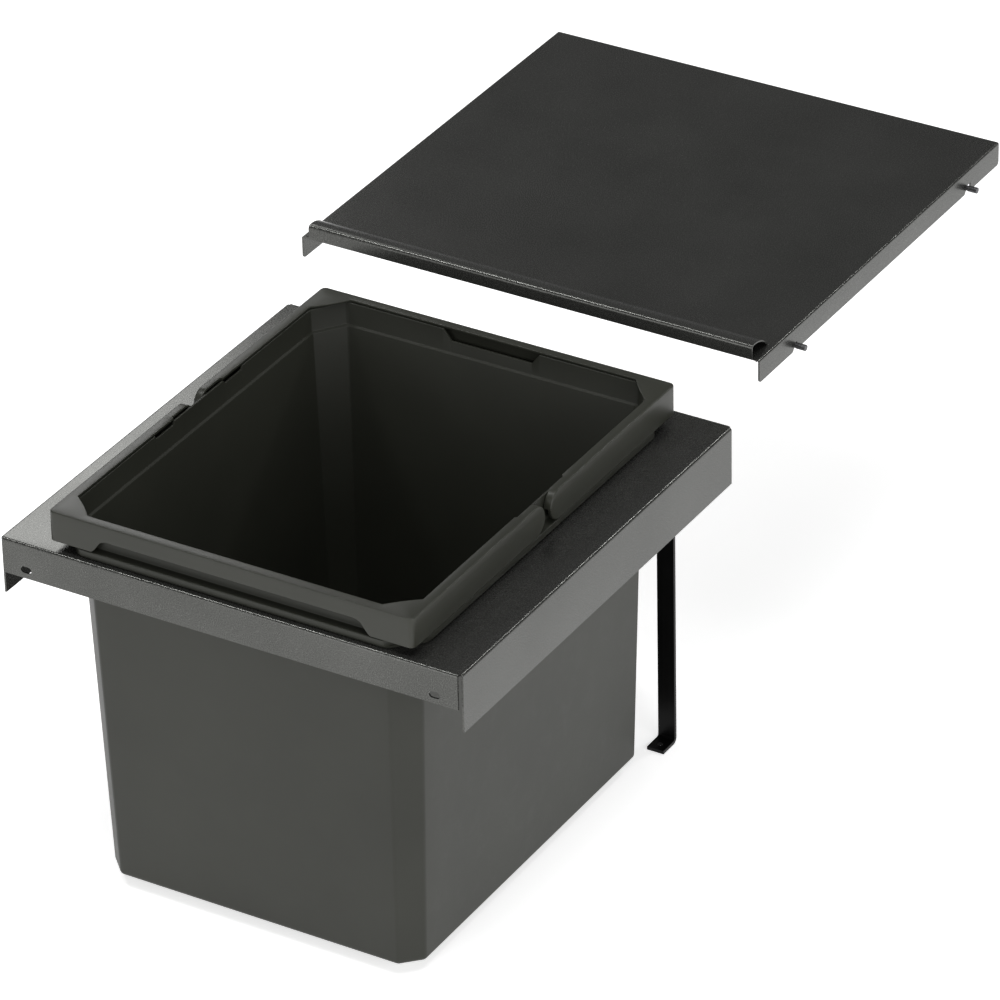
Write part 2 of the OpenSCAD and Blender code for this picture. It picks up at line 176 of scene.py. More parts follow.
def joined(name: str, pieces: list[bpy.types.Object]) -> bpy.types.Object:
    """Joins separate shells into one piece.

    Args:
        name: name of the new piece.
        pieces: the shells, which are removed.

    Returns:
        The new piece.
    """
    work = bmesh.new()
    for piece in pieces:
        work.from_mesh(piece.data)
        bpy.data.objects.remove(piece)
    shape = bpy.data.meshes.new(name)
    work.to_mesh(shape)
    work.free()
    return placed_object(name, shape)


def softened_copy(node: str, name: str, width: float, steps: int = 2) -> bpy.types.Object:
    """A merged copy of a CAD node with its sharp edges rounded.

    Args:
        node: the CAD node that the copy stands for.
        name: name of the new piece.
        width: width of the rounded edges in millimetres.
        steps: faces across a rounded edge.

    Returns:
        The new piece, which replaces the node.
    """
    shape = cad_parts[node].data.copy()
    shape.name = name
    shape.materials.clear()
    work = bmesh.new()
    work.from_mesh(shape)
    bmesh.ops.remove_doubles(work, verts=work.verts, dist=MERGE)
    bmesh.ops.dissolve_limit(work, angle_limit=math.radians(0.4), verts=work.verts,
                             edges=work.edges)
    work.to_mesh(shape)
    work.free()
    for stored in ("custom_normal", "sharp_face", "sharp_edge"):
        if stored in shape.attributes:
            shape.attributes.remove(shape.attributes[stored])
    piece = placed_object(name, shape)
    smooth_by_angle(piece, 30.0)
    edge = piece.modifiers.new("softened_edges", "BEVEL")
    edge.width = width * MM
    edge.segments = steps
    edge.limit_method = "ANGLE"
    edge.angle_limit = math.radians(40.0)
    edge.harden_normals = True
    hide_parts(node)
    return piece


# ---- Shader building ----

class Wire:
    """A value in a material's node tree; Python's operators add the Math nodes."""

    def __init__(self, shader: "Shader", socket: bpy.types.NodeSocket) -> None:
        """Keeps the shader and the output socket that carries the value."""
        self.shader = shader
        self.socket = socket

    def _math(self, operation: str, left: Any, right: Any) -> "Wire":
        """Adds one Math node and returns its value."""
        return self.shader.node("ShaderNodeMath", {"operation": operation}, left, right)

    def __add__(self, other: Any) -> "Wire":
        """Sum."""
        return self._math("ADD", self, other)

    __radd__ = __add__

    def __sub__(self, other: Any) -> "Wire":
        """Difference."""
        return self._math("SUBTRACT", self, other)

    def __rsub__(self, other: Any) -> "Wire":
        """Difference from a number."""
        return self._math("SUBTRACT", other, self)

    def __mul__(self, other: Any) -> "Wire":
        """Product."""
        return self._math("MULTIPLY", self, other)

    __rmul__ = __mul__

    def above(self, low: float, high: float) -> "Wire":
        """Smooth mask: 0 below low, 1 over high."""
        settings = {"interpolation_type": "SMOOTHSTEP"}
        return self.shader.node("ShaderNodeMapRange", settings, self, low, high, 0.0, 1.0)


class Shader:
    """A new material and a short way to add nodes to it."""

    def __init__(self, name: str) -> None:
        """Makes the material with one Principled BSDF.

        Args:
            name: name of the material.
        """
        self.material = bpy.data.materials.new(name)
        self.material.use_nodes = True
        self.tree = self.material.node_tree
        self.surface = self.tree.nodes["Principled BSDF"]
        coordinates = self.tree.nodes.new("ShaderNodeTexCoord")
        self.place = Wire(self, coordinates.outputs["Object"])

    def node(self, kind: str, settings: dict[str, Any], *values: Any, **named: Any) -> Wire:
        """Adds a node.

        Args:
            kind: the node's type.
            settings: properties that are set before the sockets.
            values: numbers or wires for the first sockets, in order.
            named: numbers or wires for sockets by name, with _ for a space.

        Returns:
            The wire from the node's first visible output.
        """
        made = self.tree.nodes.new(kind)
        for key, value in settings.items():
            setattr(made, key, value)
        sockets = [socket for socket in made.inputs if socket.enabled]
        pairs = list(zip(sockets, values))
        by_name = {socket.name: socket for socket in sockets}
        pairs += [(by_name[key.replace("_", " ")], value) for key, value in named.items()]
        for socket, value in pairs:
            if isinstance(value, Wire):
                self.tree.links.new(value.socket, socket)
            else:
                socket.default_value = value
        return Wire(self, next(socket for socket in made.outputs if socket.enabled))

    def noise(self, scale: float, detail: float = 2.0, roughness: float = 0.5) -> Wire:
        """Soft noise from 0 to 1 in object space; scale is in waves per metre."""
        return self.node("ShaderNodeTexNoise", {}, Vector=self.place, Scale=scale, Detail=detail,
                         Roughness=roughness)

    def cells(self, scale: float) -> Wire:
        """Distance to the nearest of many scattered points; scale is in points per metre."""
        return self.node("ShaderNodeTexVoronoi", {}, Vector=self.place, Scale=scale)

    def mix(self, share: Wire, low: Wire | Triple, high: Triple) -> Wire:
        """Colour between low and high.

        Args:
            share: 0 for low, 1 for high.
            low: a colour, or a wire that carries one.
            high: a colour.

        Returns:
            The wire of the mixed colour.
        """
        start = low if isinstance(low, Wire) else (*low, 1.0)
        return self.node("ShaderNodeMix", {"data_type": "RGBA"}, share, start, (*high, 1.0))

    def bump(self, height: Wire, strength: float, depth: float) -> Wire:
        """Surface relief; depth is in millimetres."""
        return self.node("ShaderNodeBump", {}, Strength=strength, Distance=depth * MM,
                         Height=height)

    def feed(self, **inputs: Any) -> None:
        """Sets or links the surface's inputs.

        Args:
            inputs: numbers, colours or wires by the input's name, with _ for a space.
        """
        for key, value in inputs.items():
            socket = self.surface.inputs[key.replace("_", " ")]
            if isinstance(value, Wire):
                self.tree.links.new(value.socket, socket)
            else:
                socket.default_value = value


# ---- Finishes ----

class Slot(Enum):
    """Material slots of the record."""

    POWDER = "grey_powder_coat"
    BLACK = "black_coat"
    BIN = "bin_plastic"
    HANDLE = "handle_plastic"
    SCREW = "screw_steel"


@dataclass(frozen=True)
class PowderCoat:
    """Anthracite powder coat: satin, with a fine orange peel and metal flake."""

    dark: Triple = (0.052, 0.053, 0.0495)
    light: Triple = (0.108, 0.109, 0.103)
    speck: Triple = (0.34, 0.34, 0.325)
    roughness: float = 0.27
    flake: float = 0.78

    def material(self) -> bpy.types.Material:
        """Builds the material.

        Returns:
            The new material.
        """
        shader = Shader("anthracite_powder_coat")
        grain = shader.noise(1100.0, detail=3.0, roughness=0.6)
        cloud = shader.noise(14.0, detail=3.0)
        body = shader.mix((grain * 0.8 + cloud * 0.2).above(0.30, 0.70), self.dark, self.light)
        specks = 1.0 - shader.cells(1500.0).above(0.10, 0.24)
        rare = shader.noise(620.0, detail=1.0).above(0.50, 0.62)
        peel = shader.noise(480.0) * 0.6 + grain * 0.4
        shader.feed(Base_Color=shader.mix(specks * rare, body, self.speck), Metallic=self.flake,
                    Roughness=self.roughness + (grain - 0.5) * 0.2,
                    Normal=shader.bump(peel, strength=0.28, depth=0.09))
        return shader.material


@dataclass(frozen=True)
class MouldedPlastic:
    """Dark grey polypropylene with a fine spark-eroded grain."""

    name: str
    dark: Triple
    light: Triple
    roughness: float
    reflection: float = 0.30

    def material(self) -> bpy.types.Material:
        """Builds the material.

        Returns:
            The new material.
        """
        shader = Shader(self.name)
        grain = shader.noise(1700.0, roughness=0.55)
        cloud = shader.noise(9.0, detail=4.0)
        rub = shader.noise(55.0, detail=5.0, roughness=0.7).above(0.45, 0.75)
        colour = shader.mix((cloud * 0.7 + grain * 0.3).above(0.25, 0.75), self.dark, self.light)
        rough = self.roughness + (grain - 0.5) * 0.16 - rub * 0.03
        relief = grain * 0.7 + shader.noise(650.0, detail=1.0) * 0.3
        shader.feed(Base_Color=colour, Roughness=rough, Specular_IOR_Level=self.reflection,
                    Normal=shader.bump(relief, strength=0.22, depth=0.08))
        return shader.material


@dataclass(frozen=True)
class BlackCoat:
    """Thin black coating on flat bar, with the rolled surface showing through."""

    colour: Triple = (0.0015, 0.0015, 0.0015)
    lighter: Triple = (0.004, 0.004, 0.004)
    reflection: float = 0.12

    def material(self) -> bpy.types.Material:
        """Builds the material.

        Returns:
            The new material.
        """
        shader = Shader("black_coated_bar")
        ripple = shader.noise(260.0, detail=3.0)
        cloud = shader.noise(30.0)
        shader.feed(Base_Color=shader.mix(cloud, self.colour, self.lighter),
                    Roughness=0.24 + ripple * 0.16, Specular_IOR_Level=self.reflection,
                    Normal=shader.bump(ripple, strength=0.3, depth=0.1))
        return shader.material


@dataclass(frozen=True)
class DarkZinc:
    """Black passivated zinc plating with turning marks."""

    colour: Triple = (0.07, 0.07, 0.072)
    lighter: Triple = (0.16, 0.16, 0.165)

    def material(self) -> bpy.types.Material:
        """Builds the material.

        Returns:
            The new material.
        """
        shader = Shader("dark_zinc_plating")
        marks = shader.noise(900.0, detail=4.0)
        shader.feed(Base_Color=shader.mix(marks.above(0.35, 0.7), self.colour, self.lighter),
                    Metallic=0.9, Roughness=0.34 + marks * 0.2,
                    Normal=shader.bump(marks, strength=0.2, depth=0.05))
        return shader.material


class Finishes:
    """The finished materials, one for each slot of the record."""

    def __init__(self) -> None:
        """Builds every material once."""
        self.made: dict[Slot, bpy.types.Material] = {
            Slot.POWDER: PowderCoat().material(),
            Slot.BLACK: BlackCoat().material(),
            Slot.BIN: MouldedPlastic("grained_bin_plastic", dark=(0.0175, 0.0184, 0.0138),
                                     light=(0.0245, 0.0256, 0.0196), roughness=0.48).material(),
            Slot.HANDLE: MouldedPlastic("grained_handle_plastic", dark=(0.0230, 0.0240, 0.0185),
                                        light=(0.0322, 0.0334, 0.0262), roughness=0.36).material(),
            Slot.SCREW: DarkZinc().material(),
        }

    def dress(self, piece: bpy.types.Object, slot: Slot) -> None:
        """Gives a piece the finish of a slot.

        Args:
            piece: the piece.
            slot: the slot of the record that it takes its finish from.
        """
        piece.data.materials.clear()
        piece.data.materials.append(self.made[slot])


# ---- Rim sizes shared by the bin and its handles ----

@dataclass(frozen=True)
class Rim:
    """Sizes that the bin's wall and the handles share, in millimetres.

    Heights are over the tray's top face.
    """

    width: float = 315.2            # outside, across both handles' skirts
    depth: float = 385.6            # outside, from the front skirt to the rear one
    setback: float = 4.8            # from the tray's front face to the front skirt
    reach: float = 7.0              # from the skirt's outside to the wall's outside, at the top
    skirt_top: float = 32.7
    skirt_low: float = 7.5
    skirt: float = 2.8              # thickness of the skirts
    handle_gap: float = 8.0         # between the two handles' round ends

    @property
    def half(self) -> float:
        """Half the rim's width."""
        return self.width / 2.0

    @property
    def middle(self) -> float:
        """Middle of the rim along Y."""
        return self.setback + self.depth / 2.0

    @property
    def eye(self) -> float:
        """Radius of a handle's round ends."""
        return (self.skirt_top - self.skirt_low) / 2.0

    @property
    def eye_height(self) -> float:
        """Height of the pivots."""
        return self.skirt_top - self.eye

    @property
    def pivot(self) -> float:
        """Front handle's pivot along Y."""
        return self.middle - self.handle_gap / 2.0 - self.eye


RIM = Rim()


# ---- Bin ----

@dataclass
class Outline:
    """A rectangle with chamfered, rounded corners: one ring of the bin's surface."""

    half: float                     # half the width
    front: float
    back: float
    front_chamfer: float
    back_chamfer: tuple[float, float]
    height: float
    corner: float                   # radius between a chamfer and a side

    def ring(self, cross: np.ndarray, along: np.ndarray, steps: int) -> np.ndarray:
        """Points of the outline, anticlockwise from above.

        Each corner is an arc tangent to its two sides; between corners lie points at the given
        places along X on the front and back, and along Y on the left and right.

        Args:
            cross: places along X, rising, for the front and back sides.
            along: places along Y, rising, for the left and right sides.
            steps: points of each corner's arc.

        Returns:
            An array of shape (points, 3).
        """
        cf, (bx, by) = self.front_chamfer, self.back_chamfer
        corners = np.array([
            [-self.half + cf, self.front], [self.half - cf, self.front],
            [self.half, self.front + cf], [self.half, self.back - by],
            [self.half - bx, self.back], [-self.half + bx, self.back],
            [-self.half, self.back - by], [-self.half, self.front + cf]])
        ahead = np.roll(corners, -1, axis=0) - corners
        ahead /= np.linalg.norm(ahead, axis=1)[:, None]
        normal = np.stack([ahead[:, 1], -ahead[:, 0]], -1)
        before = np.roll(normal, 1, axis=0)
        facing = 1.0 + np.sum(normal * before, axis=1)[:, None]
        centres = corners - self.corner * (normal + before) / facing
        start = np.arctan2(before[:, 1], before[:, 0])
        turn = (np.arctan2(normal[:, 1], normal[:, 0]) - start) % (2.0 * np.pi)
        angles = start[:, None] + turn[:, None] * np.linspace(0.0, 1.0, steps)[None, :]
        arcs = centres[:, None, :] + self.corner * np.stack([np.cos(angles), np.sin(angles)], -1)
        right = np.full_like(along, self.half)
        parts = [arcs[0], np.stack([cross, np.full_like(cross, self.front)], -1), arcs[1], arcs[2],
                 np.stack([right, along], -1), arcs[3], arcs[4],
                 np.stack([cross[::-1], np.full_like(cross, self.back)], -1), arcs[5], arcs[6],
                 np.stack([-right, along[::-1]], -1), arcs[7]]
        flat = np.concatenate(parts)
        return np.column_stack([flat, np.full(len(flat), self.height)])


@dataclass
class Bin:
    """The moulded bin: a leaning wall, a thinner band at the top, a ledge and four pivot bosses."""

    drop: float = 293.0             # underside of the floor, below the tray's top face
    wall: float = 2.6
    band: float = 1.8               # thickness of the wall's upper band
    band_low: float = 10.8          # height where the band starts
    band_blend: float = 1.2         # height over which the wall steps out to it
    step: float = 1.7               # how far the wall below the band stands in
    top: float = 30.2               # height of the wall
    draft: float = 11.5             # how far the wall leans in, from top to floor
    corner: float = 5.0
    least_corner: float = 0.6
    chamfer_growth: float = 0.6     # share of an outline's growth that its chamfers take
    front_chamfer: float = 19.0
    back_chamfer: tuple[float, float] = (19.0, 26.0)
    floor_chamfer: tuple[float, float] = (15.5, 18.0)
    floor_round: float = 4.5
    lip_round: float = 0.6          # round of the wall's top edges
    ledge_top: float = 7.0
    ledge_low: float = 2.0
    ledge_wall: float = 2.0
    ledge_chamfer: float = 7.0      # how much more the ledge's corners are cut than the wall's
    ledge_root: float = 1.0         # hollow between wall and ledge
    ledge_edge: float = 0.8         # round of the ledge's upper edge
    ledge_foot: float = 0.4         # round of its lower edge
    opening_gap: float = 2.5        # from the wall to the tray's opening
    seat_edge: float = 0.3          # bevel of the seat's lower edges
    notch_half: float = 43.0
    notch_slope: float = 7.0
    notch_depth: float = 9.0
    notch_beyond: float = 150.0     # the notch is only in wall this far behind the middle
    recess_near: float = 34.3       # recess's ends, from the middle of the side wall
    recess_far: float = 61.0
    recess_slope: float = 1.6
    recess_depth: float = 2.8
    recess_beyond: float = 130.0    # recesses are only in wall this far from the middle plane
    boss: float = 6.5               # radius of a boss
    bore: float = 3.05              # radius of its bore

    def wall_ring(self, height: float, grow: float, step: float = 0.0) -> Outline:
        """Outline of the wall at a height, moved outwards by grow.

        Args:
            height: height over the tray's top face.
            grow: distance outwards from the outer face.
            step: how far the wall would stand in at the rim.

        Returns:
            The outline.
        """
        share = (self.top - height) / (self.top + self.drop)
        lean = step + (self.draft - step) * share
        wide, deep = self.floor_chamfer
        extra = self.chamfer_growth * grow
        front = self.front_chamfer + (wide - self.front_chamfer) * share + extra
        back = (self.back_chamfer[0] + (wide - self.back_chamfer[0]) * share + extra,
                self.back_chamfer[1] + (deep - self.back_chamfer[1]) * share + extra)
        return Outline(RIM.half - RIM.reach - lean + grow, RIM.setback + RIM.reach + lean - grow,
                       RIM.setback + RIM.depth - RIM.reach - lean + grow, front, back, height,
                       max(self.corner + grow, self.least_corner))

    def ledge_ring(self, height: float, grow: float) -> Outline:
        """Outline of the ledge at a height, moved outwards by grow.

        Args:
            height: height over the tray's top face.
            grow: distance outwards from the rim's outside.

        Returns:
            The outline.
        """
        extra = self.ledge_chamfer + self.chamfer_growth * grow
        back = (self.back_chamfer[0] + extra, self.back_chamfer[1] + extra)
        return Outline(RIM.half + grow, RIM.setback - grow, RIM.setback + RIM.depth + grow,
                       self.front_chamfer + extra, back, height, self.corner + grow)

    def profile(self) -> list[Outline]:
        """The surface's rings, from the floor up inside, over the top and down outside.

        Every rounded edge is a quarter circle, by radius (1 - sin a) along one side and
        radius (1 - cos a) along the other.

        Returns:
            The outlines in order, each with its height.
        """
        fine = np.linspace(0.0, 90.0, 7)
        rising = (0.0, 30.0, 60.0, 90.0)
        falling = rising[::-1]
        floor = -self.drop + self.wall
        rings = [self.wall_ring(floor + b, -self.wall - a, self.step)
                 for a, b in arc(self.floor_round - 0.5, fine)]
        rings += [self.wall_ring(self.band_low - 0.4, -self.wall, self.step),
                  self.wall_ring(self.band_low, -self.wall + 0.2, self.step),
                  self.wall_ring(self.band_low + 0.8, -self.band - 0.2),
                  self.wall_ring(self.band_low + self.band_blend, -self.band)]
        rings += [self.wall_ring(self.top - a, -self.band + b)
                  for a, b in arc(self.lip_round, rising)]
        rings += [self.wall_ring(self.top - a, -b) for a, b in arc(self.lip_round, falling)]
        rings += [self.wall_ring(self.ledge_top + a, b) for a, b in arc(self.ledge_root, rising)]
        rings += [self.ledge_ring(self.ledge_top - a, -b)
                  for a, b in arc(self.ledge_edge, falling)]
        rings += [self.ledge_ring(self.ledge_low + a, -b)
                  for a, b in arc(self.ledge_foot, (0.0, 45.0, 90.0))]
        seat_in = self.opening_gap + self.ledge_wall
        seat_out = seat_in + self.ledge_wall
        bevel = self.seat_edge
        for height, grow in ((self.ledge_low, seat_out), (bevel, seat_out),
                             (0.0, seat_out - bevel), (0.0, seat_in + bevel), (bevel, seat_in),
                             (self.ledge_top - self.ledge_wall, seat_in)):
            ring = self.wall_ring(0.0, grow)
            ring.height = height
            rings.append(ring)
        rings.append(self.wall_ring(self.ledge_top - self.ledge_wall, 0.0, self.step))
        rings += [self.wall_ring(-self.drop + a, -b, self.step)
                  for a, b in arc(self.floor_round, fine)]
        return rings

    def notched(self, rings: np.ndarray) -> np.ndarray:
        """Lowers the wall's top: a finger notch in the back wall, two recesses in each side wall.

        A point's height z goes to z - drop * share(z): the drop is a trapezoid along the wall, and
        the share rises from 0 at the band's foot to 1 at the top. The wall keeps its lean.

        Args:
            rings: points of the shell, with its top level.

        Returns:
            The moved points.
        """
        x, y, z = rings[..., 0], rings[..., 1], rings[..., 2]
        foot = self.band_low + self.band_blend
        share = np.clip((z - foot) / (self.top - foot), 0.0, 1.0)
        across = (self.notch_half - np.abs(x)) / self.notch_slope
        notch = np.where(y > RIM.middle + self.notch_beyond,
                         self.notch_depth * np.clip(across, 0.0, 1.0), 0.0) * share
        away = np.abs(y - RIM.middle)
        ends = np.minimum(away - self.recess_near, self.recess_far - away) / self.recess_slope
        recess = np.where(np.abs(x) > self.recess_beyond,
                          self.recess_depth * np.clip(ends, 0.0, 1.0), 0.0) * share
        lean = self.draft / (self.top + self.drop)
        return np.stack([x - np.sign(x) * lean * recess, y - lean * notch, z - notch - recess], -1)

    def build(self) -> bpy.types.Object:
        """Makes the shell as one profile carried round the chamfered outline.

        Points lie close together on both sides of every bend of the notch and the recesses.

        Returns:
            The shell.
        """
        bend = 0.6
        outer, inner = self.notch_half, self.notch_half - self.notch_slope
        notch = np.array([outer + bend, outer, outer - bend, inner + bend, inner, inner - bend])
        cross = np.concatenate([[-110.0, -80.0], -notch, np.linspace(-30.0, 30.0, 7),
                                notch[::-1], [80.0, 110.0]])
        bend = 0.2
        near, far = self.recess_near, self.recess_far
        low_from, low_to = near + self.recess_slope, far - self.recess_slope
        recess = np.array([0.0, 18.0, near - bend, near, low_from, low_from + bend, 47.0,
                           low_to - bend, low_to, far, far + bend, 85.0, 115.0, 138.0])
        along = RIM.middle + np.concatenate([-recess[:0:-1], recess])
        rings = np.stack([outline.ring(cross, along, 6) for outline in self.profile()])
        shell = shell_from_rings("bin_moulding", self.notched(rings))
        smooth_by_angle(shell, CREASE)
        return shell

    def bosses(self) -> bpy.types.Object:
        """Four bosses on the side walls, each a profile turned about a handle's pivot.

        The profile runs from the flared root over the rounded face into the blind bore.

        Returns:
            The four bosses as one piece.
        """
        face = RIM.half - RIM.skirt - 0.3
        root = RIM.half - RIM.reach - 1.2
        profile = np.array([[root, self.boss + 1.2], [root + 1.0, self.boss + 0.3],
                            [root + 2.0, self.boss], [face - 0.4, self.boss],
                            [face - 0.1, self.boss - 0.1], [face, self.boss - 0.4],
                            [face, self.bore + 0.3], [face - 0.3, self.bore],
                            [root + 1.6, self.bore], [root + 1.6, 0.0]])
        shells = []
        for side in (-1, 1):
            for y in (RIM.pivot, 2.0 * RIM.middle - RIM.pivot):
                rings = revolved(profile, (y, RIM.eye_height), side, BOSS_STEPS)
                shells.append(shell_from_rings("boss", rings))
        made = joined("bin_pivot_bosses", shells)
        smooth_by_angle(made, CREASE)
        return made

    def dress(self, finishes: Finishes) -> None:
        """Builds and finishes the bin's pieces.

        Args:
            finishes: the finished materials.
        """
        shell = self.build()
        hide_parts("bin_shell")
        for piece in (shell, self.bosses()):
            finishes.dress(piece, Slot.BIN)
            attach(piece, "bin")
            LOG.info("%s: %d faces", piece.name, len(piece.data.polygons))


# ---- Handles ----

@dataclass
class BailHandle:
    """A bail handle: a top flange and a skirt carried round half the rim.

    At each end the section is turned about the pivot into a round eye. The rear handle is the
    front one's mirror image without the grip's cut-out.
    """

    name: str
    node: str
    body: str
    rear: bool
    flange: float = 2.0             # thickness of the top flange
    flange_width: float = 8.2
    flange_narrow: float = 6.3      # its width near the pivots
    narrow_from: float = 34.2       # where it narrows, from the middle of the rim
    corner: float = 4.5
    gusset_x: float = 22.0          # flange's corner gusset, along X and along Y
    gusset_y: float = 20.0
    gusset_bow: float = 0.8         # how far the gusset's edge bows inwards
    pin: float = 3.0
    edge: float = 1.1               # round of the outer upper edge
    small_edge: float = 0.45        # round of the other edges
    hollow: float = 0.5             # round of the inner corner under the flange
    front_places: tuple[float, ...] = (0.0, 25.0, 50.0, 75.0, 100.0, 105.0, 107.0, 108.5, 110.0,
                                       111.5, 113.0, 114.5, 116.0, 118.0, 120.0, 121.0, 123.0)
    grip_places: tuple[float, ...] = (105.0, 107.5, 110.0, 111.5, 113.0, 115.5, 118.0, 119.7,
                                      121.0)
    grip_heights: tuple[float, ...] = (19.4, 19.2, 18.6, 17.9, 16.8, 13.4, 10.0, 8.2,
                                       RIM.skirt_low)

    def stations(self) -> tuple[np.ndarray, np.ndarray, np.ndarray]:
        """Outer edge, inner flange edge and skirt bottom from the middle of the front to the pivot.

        The outer edge is straight, turns by a quarter circle and is straight again. The inner edge
        follows it at the flange's width, and crosses the corner on the gusset's bowed line.

        Returns:
            Arrays of shape (stations, 2), (stations, 2) and (stations,).
        """
        half, front = RIM.half, RIM.setback
        inner, inner_front = half - self.flange_width, front + self.flange_width
        narrow = half - self.flange_narrow
        straight_x = np.array(self.front_places)
        grip = np.interp(straight_x, self.grip_places, self.grip_heights)
        quarter = np.radians(np.linspace(0.0, 90.0, 9))
        turn = np.stack([half - self.corner + self.corner * np.sin(quarter),
                         front + self.corner - self.corner * np.cos(quarter)], -1)
        start = np.array([inner - self.gusset_x, front])
        lead = np.linspace(start, turn[0], 5)[:-1]
        end = np.array([half, inner_front + self.gusset_y])
        trail = np.linspace(turn[-1], end, 5)[1:]
        y_narrow = RIM.middle - self.narrow_from
        arm_y = np.concatenate([np.linspace(end[1], y_narrow - 0.5, 7)[1:], [y_narrow + 0.5],
                                np.linspace(y_narrow + 0.5, RIM.pivot, 4)[1:]])
        outer = np.concatenate([
            np.stack([straight_x, np.full_like(straight_x, front)], -1), lead, turn, trail,
            np.stack([np.full_like(arm_y, half), arm_y], -1)])
        corner_count = len(lead) + len(turn) + len(trail)
        share = np.linspace(0.0, 1.0, corner_count)
        inwards = np.array([-0.67, 0.74])
        bow = self.gusset_bow * np.sin(np.pi * share)[:, None] * inwards
        gusset = np.stack([inner - self.gusset_x * (1.0 - share),
                           inner_front + self.gusset_y * share], -1) + bow
        arm_x = np.where(arm_y > y_narrow, narrow, inner)
        inside = np.concatenate([
            np.stack([straight_x, np.full_like(straight_x, inner_front)], -1), gusset,
            np.stack([arm_x, arm_y], -1)])
        if self.rear:
            grip = np.full_like(grip, RIM.skirt_low)
        low = np.concatenate([grip, np.full(corner_count + len(arm_y), RIM.skirt_low)])
        return outer, inside, low

    def section(self, outer: np.ndarray, inside: np.ndarray, low: np.ndarray) -> np.ndarray:
        """Closed cross-sections: up the outer face, over the flange, back under it and down inside.

        A point is placed by its distance from the outer edge along the line to the inner flange
        edge, except that the skirt's distance is measured square to the skirt.

        Args:
            outer: outer edge at each station, as (x, y).
            inside: inner edge of the flange at each station.
            low: height of the skirt's bottom at each station.

        Returns:
            An array of shape (stations, points, 3).
        """
        along = np.gradient(outer, axis=0)
        along /= np.linalg.norm(along, axis=1)[:, None]
        square = np.stack([-along[:, 1], along[:, 0]], -1)
        line = inside - outer
        line = line / np.linalg.norm(line, axis=1)[:, None]
        top = np.full_like(low, RIM.skirt_top)
        under = top - self.flange
        small, skirt = self.small_edge, RIM.skirt
        rising = (0.0, 22.5, 45.0, 67.5, 90.0)
        falling = rising[::-1]
        rows: list[np.ndarray] = []

        def put(base: np.ndarray, way: np.ndarray, distance: float, height: np.ndarray) -> None:
            """Adds one point of every section."""
            rows.append(np.column_stack([base + way * distance, height]))

        for a, b in arc(small, falling):
            put(outer, square, b, low + a)
        for share in (0.25, 0.5, 0.75):
            put(outer, square, 0.0, low + (top - low) * share)
        for a, b in arc(self.edge, rising):
            put(outer, square, b, top - a)
        for a, b in arc(small, falling):
            put(inside, -line, b, top - a)
        for a, b in arc(small, rising[:-1]):
            put(inside, -line, b, under + a)
        put(inside, -line, small, under)
        for a, b in arc(self.hollow, falling):
            put(outer, square, skirt + a, under - b)
        for share in (0.75, 0.5, 0.25):
            put(outer, square, skirt, low + (top - low) * share)
        for a, b in arc(small, rising):
            put(outer, square, skirt - b, low + a)
        return np.stack(rows, 1)

    def eye(self, section: np.ndarray) -> np.ndarray:
        """Turns the last section about the pivot into the handle's round end.

        A point at height r over the pivot goes to y + |r| sin a, z + r cos a: upper points go round
        the eye and down, and lower points mirror them, so that both meet at the pivot's level.

        Args:
            section: the section at the pivot, of shape (points, 3).

        Returns:
            An array of shape (steps, points, 3).
        """
        angle = np.radians(np.linspace(0.0, 90.0, 13))[1:, None]
        radius = section[None, :, 2] - RIM.eye_height
        y = RIM.pivot + np.abs(radius) * np.sin(angle)
        z = RIM.eye_height + radius * np.cos(angle)
        x = np.broadcast_to(section[None, :, 0], y.shape)
        return np.stack([x, y, z], -1)

    def build(self) -> bpy.types.Object:
        """Makes the handle: half of it, mirrored, joined in the middle, with its pins.

        Returns:
            The handle.
        """
        outer, inside, low = self.stations()
        half = self.section(outer, inside, low)
        half[0, :, 0] = 0.0
        half[-1, :, 1] = RIM.pivot
        half = np.concatenate([half, self.eye(half[-1])])
        other = half[:0:-1] * np.array([-1.0, 1.0, 1.0])
        rings = np.concatenate([other, half])
        if self.rear:
            rings[..., 1] = 2.0 * RIM.middle - rings[..., 1]
        shells = [shell_from_rings("bail", rings)]
        face = RIM.half - RIM.skirt
        tip = RIM.half - RIM.reach + 0.6
        collar = self.pin + 0.4
        profile = np.array([[face + 0.3, 0.0], [face + 0.3, collar], [face - 0.2, collar],
                            [face - 0.5, self.pin], [tip + 0.4, self.pin], [tip, self.pin - 0.4],
                            [tip, 0.0]])
        y = 2.0 * RIM.middle - RIM.pivot if self.rear else RIM.pivot
        for side in (-1, 1):
            rings = revolved(profile, (y, RIM.eye_height), side, PIVOT_STEPS)
            shells.append(shell_from_rings("pin", rings))
        made = joined(self.name, shells)
        smooth_by_angle(made, CREASE)
        return made

    def dress(self, finishes: Finishes) -> None:
        """Builds and finishes the handle.

        Args:
            finishes: the finished materials.
        """
        piece = self.build()
        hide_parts(self.node)
        finishes.dress(piece, Slot.HANDLE)
        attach(piece, self.body)
        LOG.info("%s: %d faces", piece.name, len(piece.data.polygons))


# ---- Steel parts ----

@dataclass
class SteelPart:
    """A folded or cut steel part: its solid with the sheared edges rounded."""

    node: str
    name: str
    body: str
    slot: Slot
    edge: float                     # width of the rounded edges, in millimetres

    def dress(self, finishes: Finishes) -> None:
        """Builds and finishes the part.

        Args:
            finishes: the finished materials.
        """
        piece = softened_copy(self.node, self.name, self.edge)
        finishes.dress(piece, self.slot)
        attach(piece, self.body)
        LOG.info("%s: %d faces before its edges", piece.name, len(piece.data.polygons))


# ---- Studio ----

